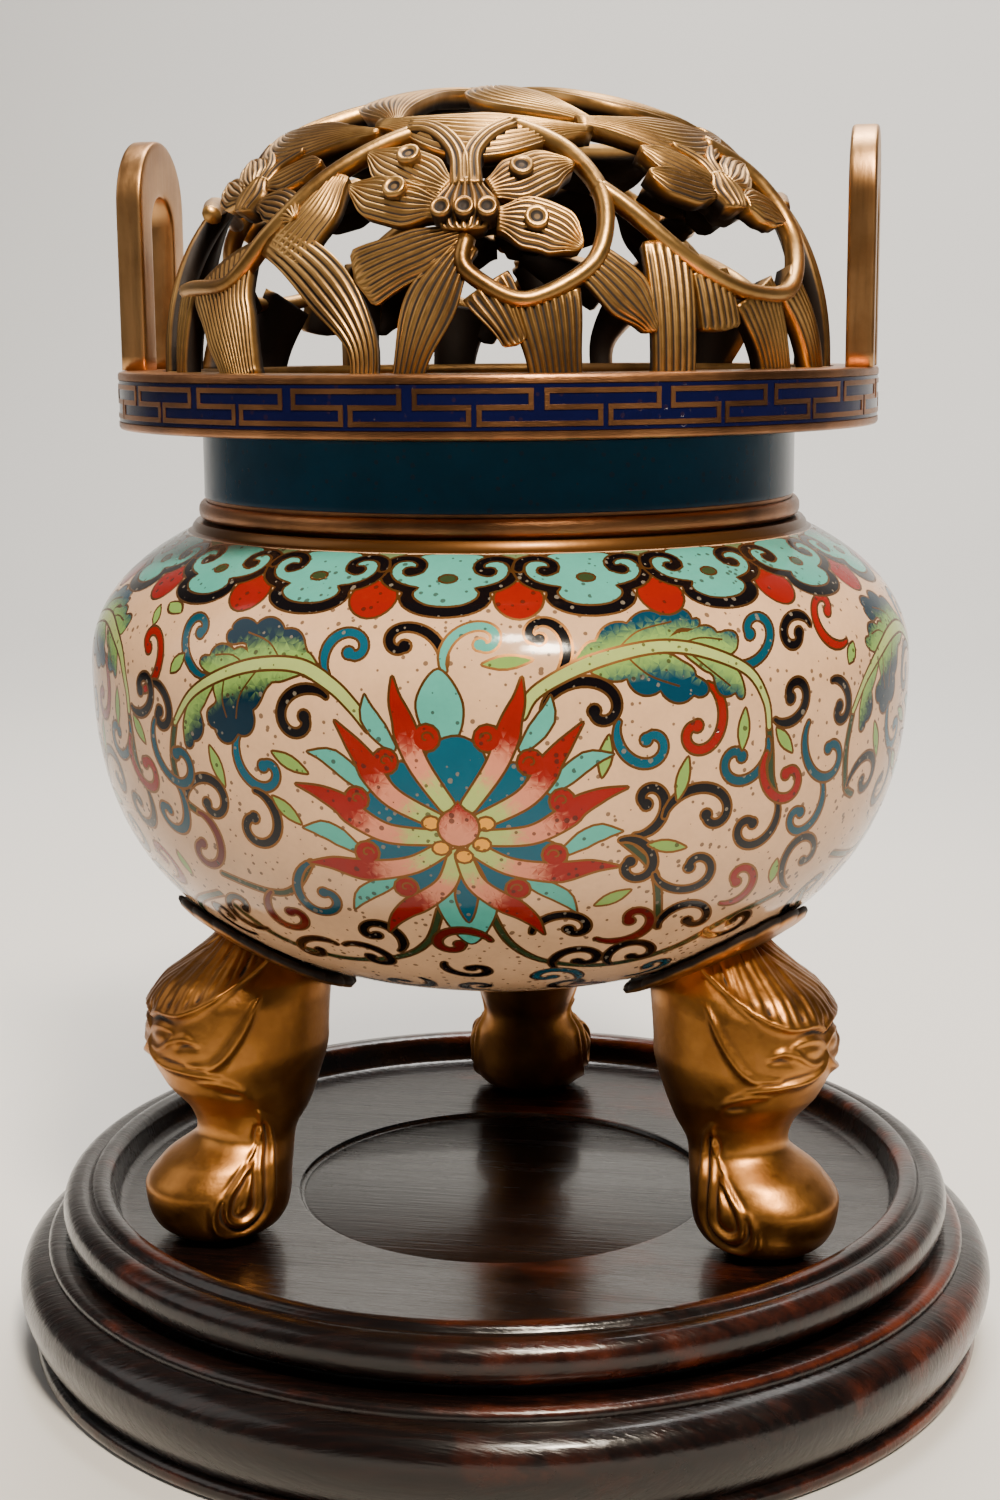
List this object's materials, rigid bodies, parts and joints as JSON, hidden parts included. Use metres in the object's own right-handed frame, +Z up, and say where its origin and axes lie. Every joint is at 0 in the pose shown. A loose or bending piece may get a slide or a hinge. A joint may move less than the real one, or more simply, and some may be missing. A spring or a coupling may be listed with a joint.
{
  "type": "cloisonne tripod censer on a wooden stand",
  "caption": "Squat cloisonne tripod incense burner with lotus scrolls, upright rim handles, a pierced domed lid and lion-mask legs, on a turned dark wooden stand.",
  "frame": {"origin": "middle of the wooden stand's underside, on the surface it stands on", "axes": "+Z up through the bowl and lid, +X through the right handle, -Y towards the front lotus"},
  "size_m": [0.1288, 0.1288, 0.1604],
  "materials": {
    "lacquered_wood": "near-black red-brown lacquer, glossy, worn to orange-red along the edges",
    "cloisonne_enamel": "polished enamel on copper, pinkish cream ground with flush brass wires and coloured cells, pitted",
    "blue_enamel": "dark petrol blue enamel on copper, key-fret rim in cobalt with gilt lines",
    "gilt_bronze": "worn warm gilding on cast bronze, polished on the high places, dark in the hollows",
    "pierced_brass": "dull tan cast brass with dark recesses and rubbed ribs"
  },
  "bodies": {
    "root": {"wood_stand": "lacquered_wood", "bowl": "cloisonne_enamel", "collar": "blue_enamel", "left_handle": "gilt_bronze", "right_handle": "gilt_bronze", "leg_back": "gilt_bronze", "leg_front_left": "gilt_bronze", "leg_front_right": "gilt_bronze", "pierced_lid": "pierced_brass"}
  },
  "joints": []
}
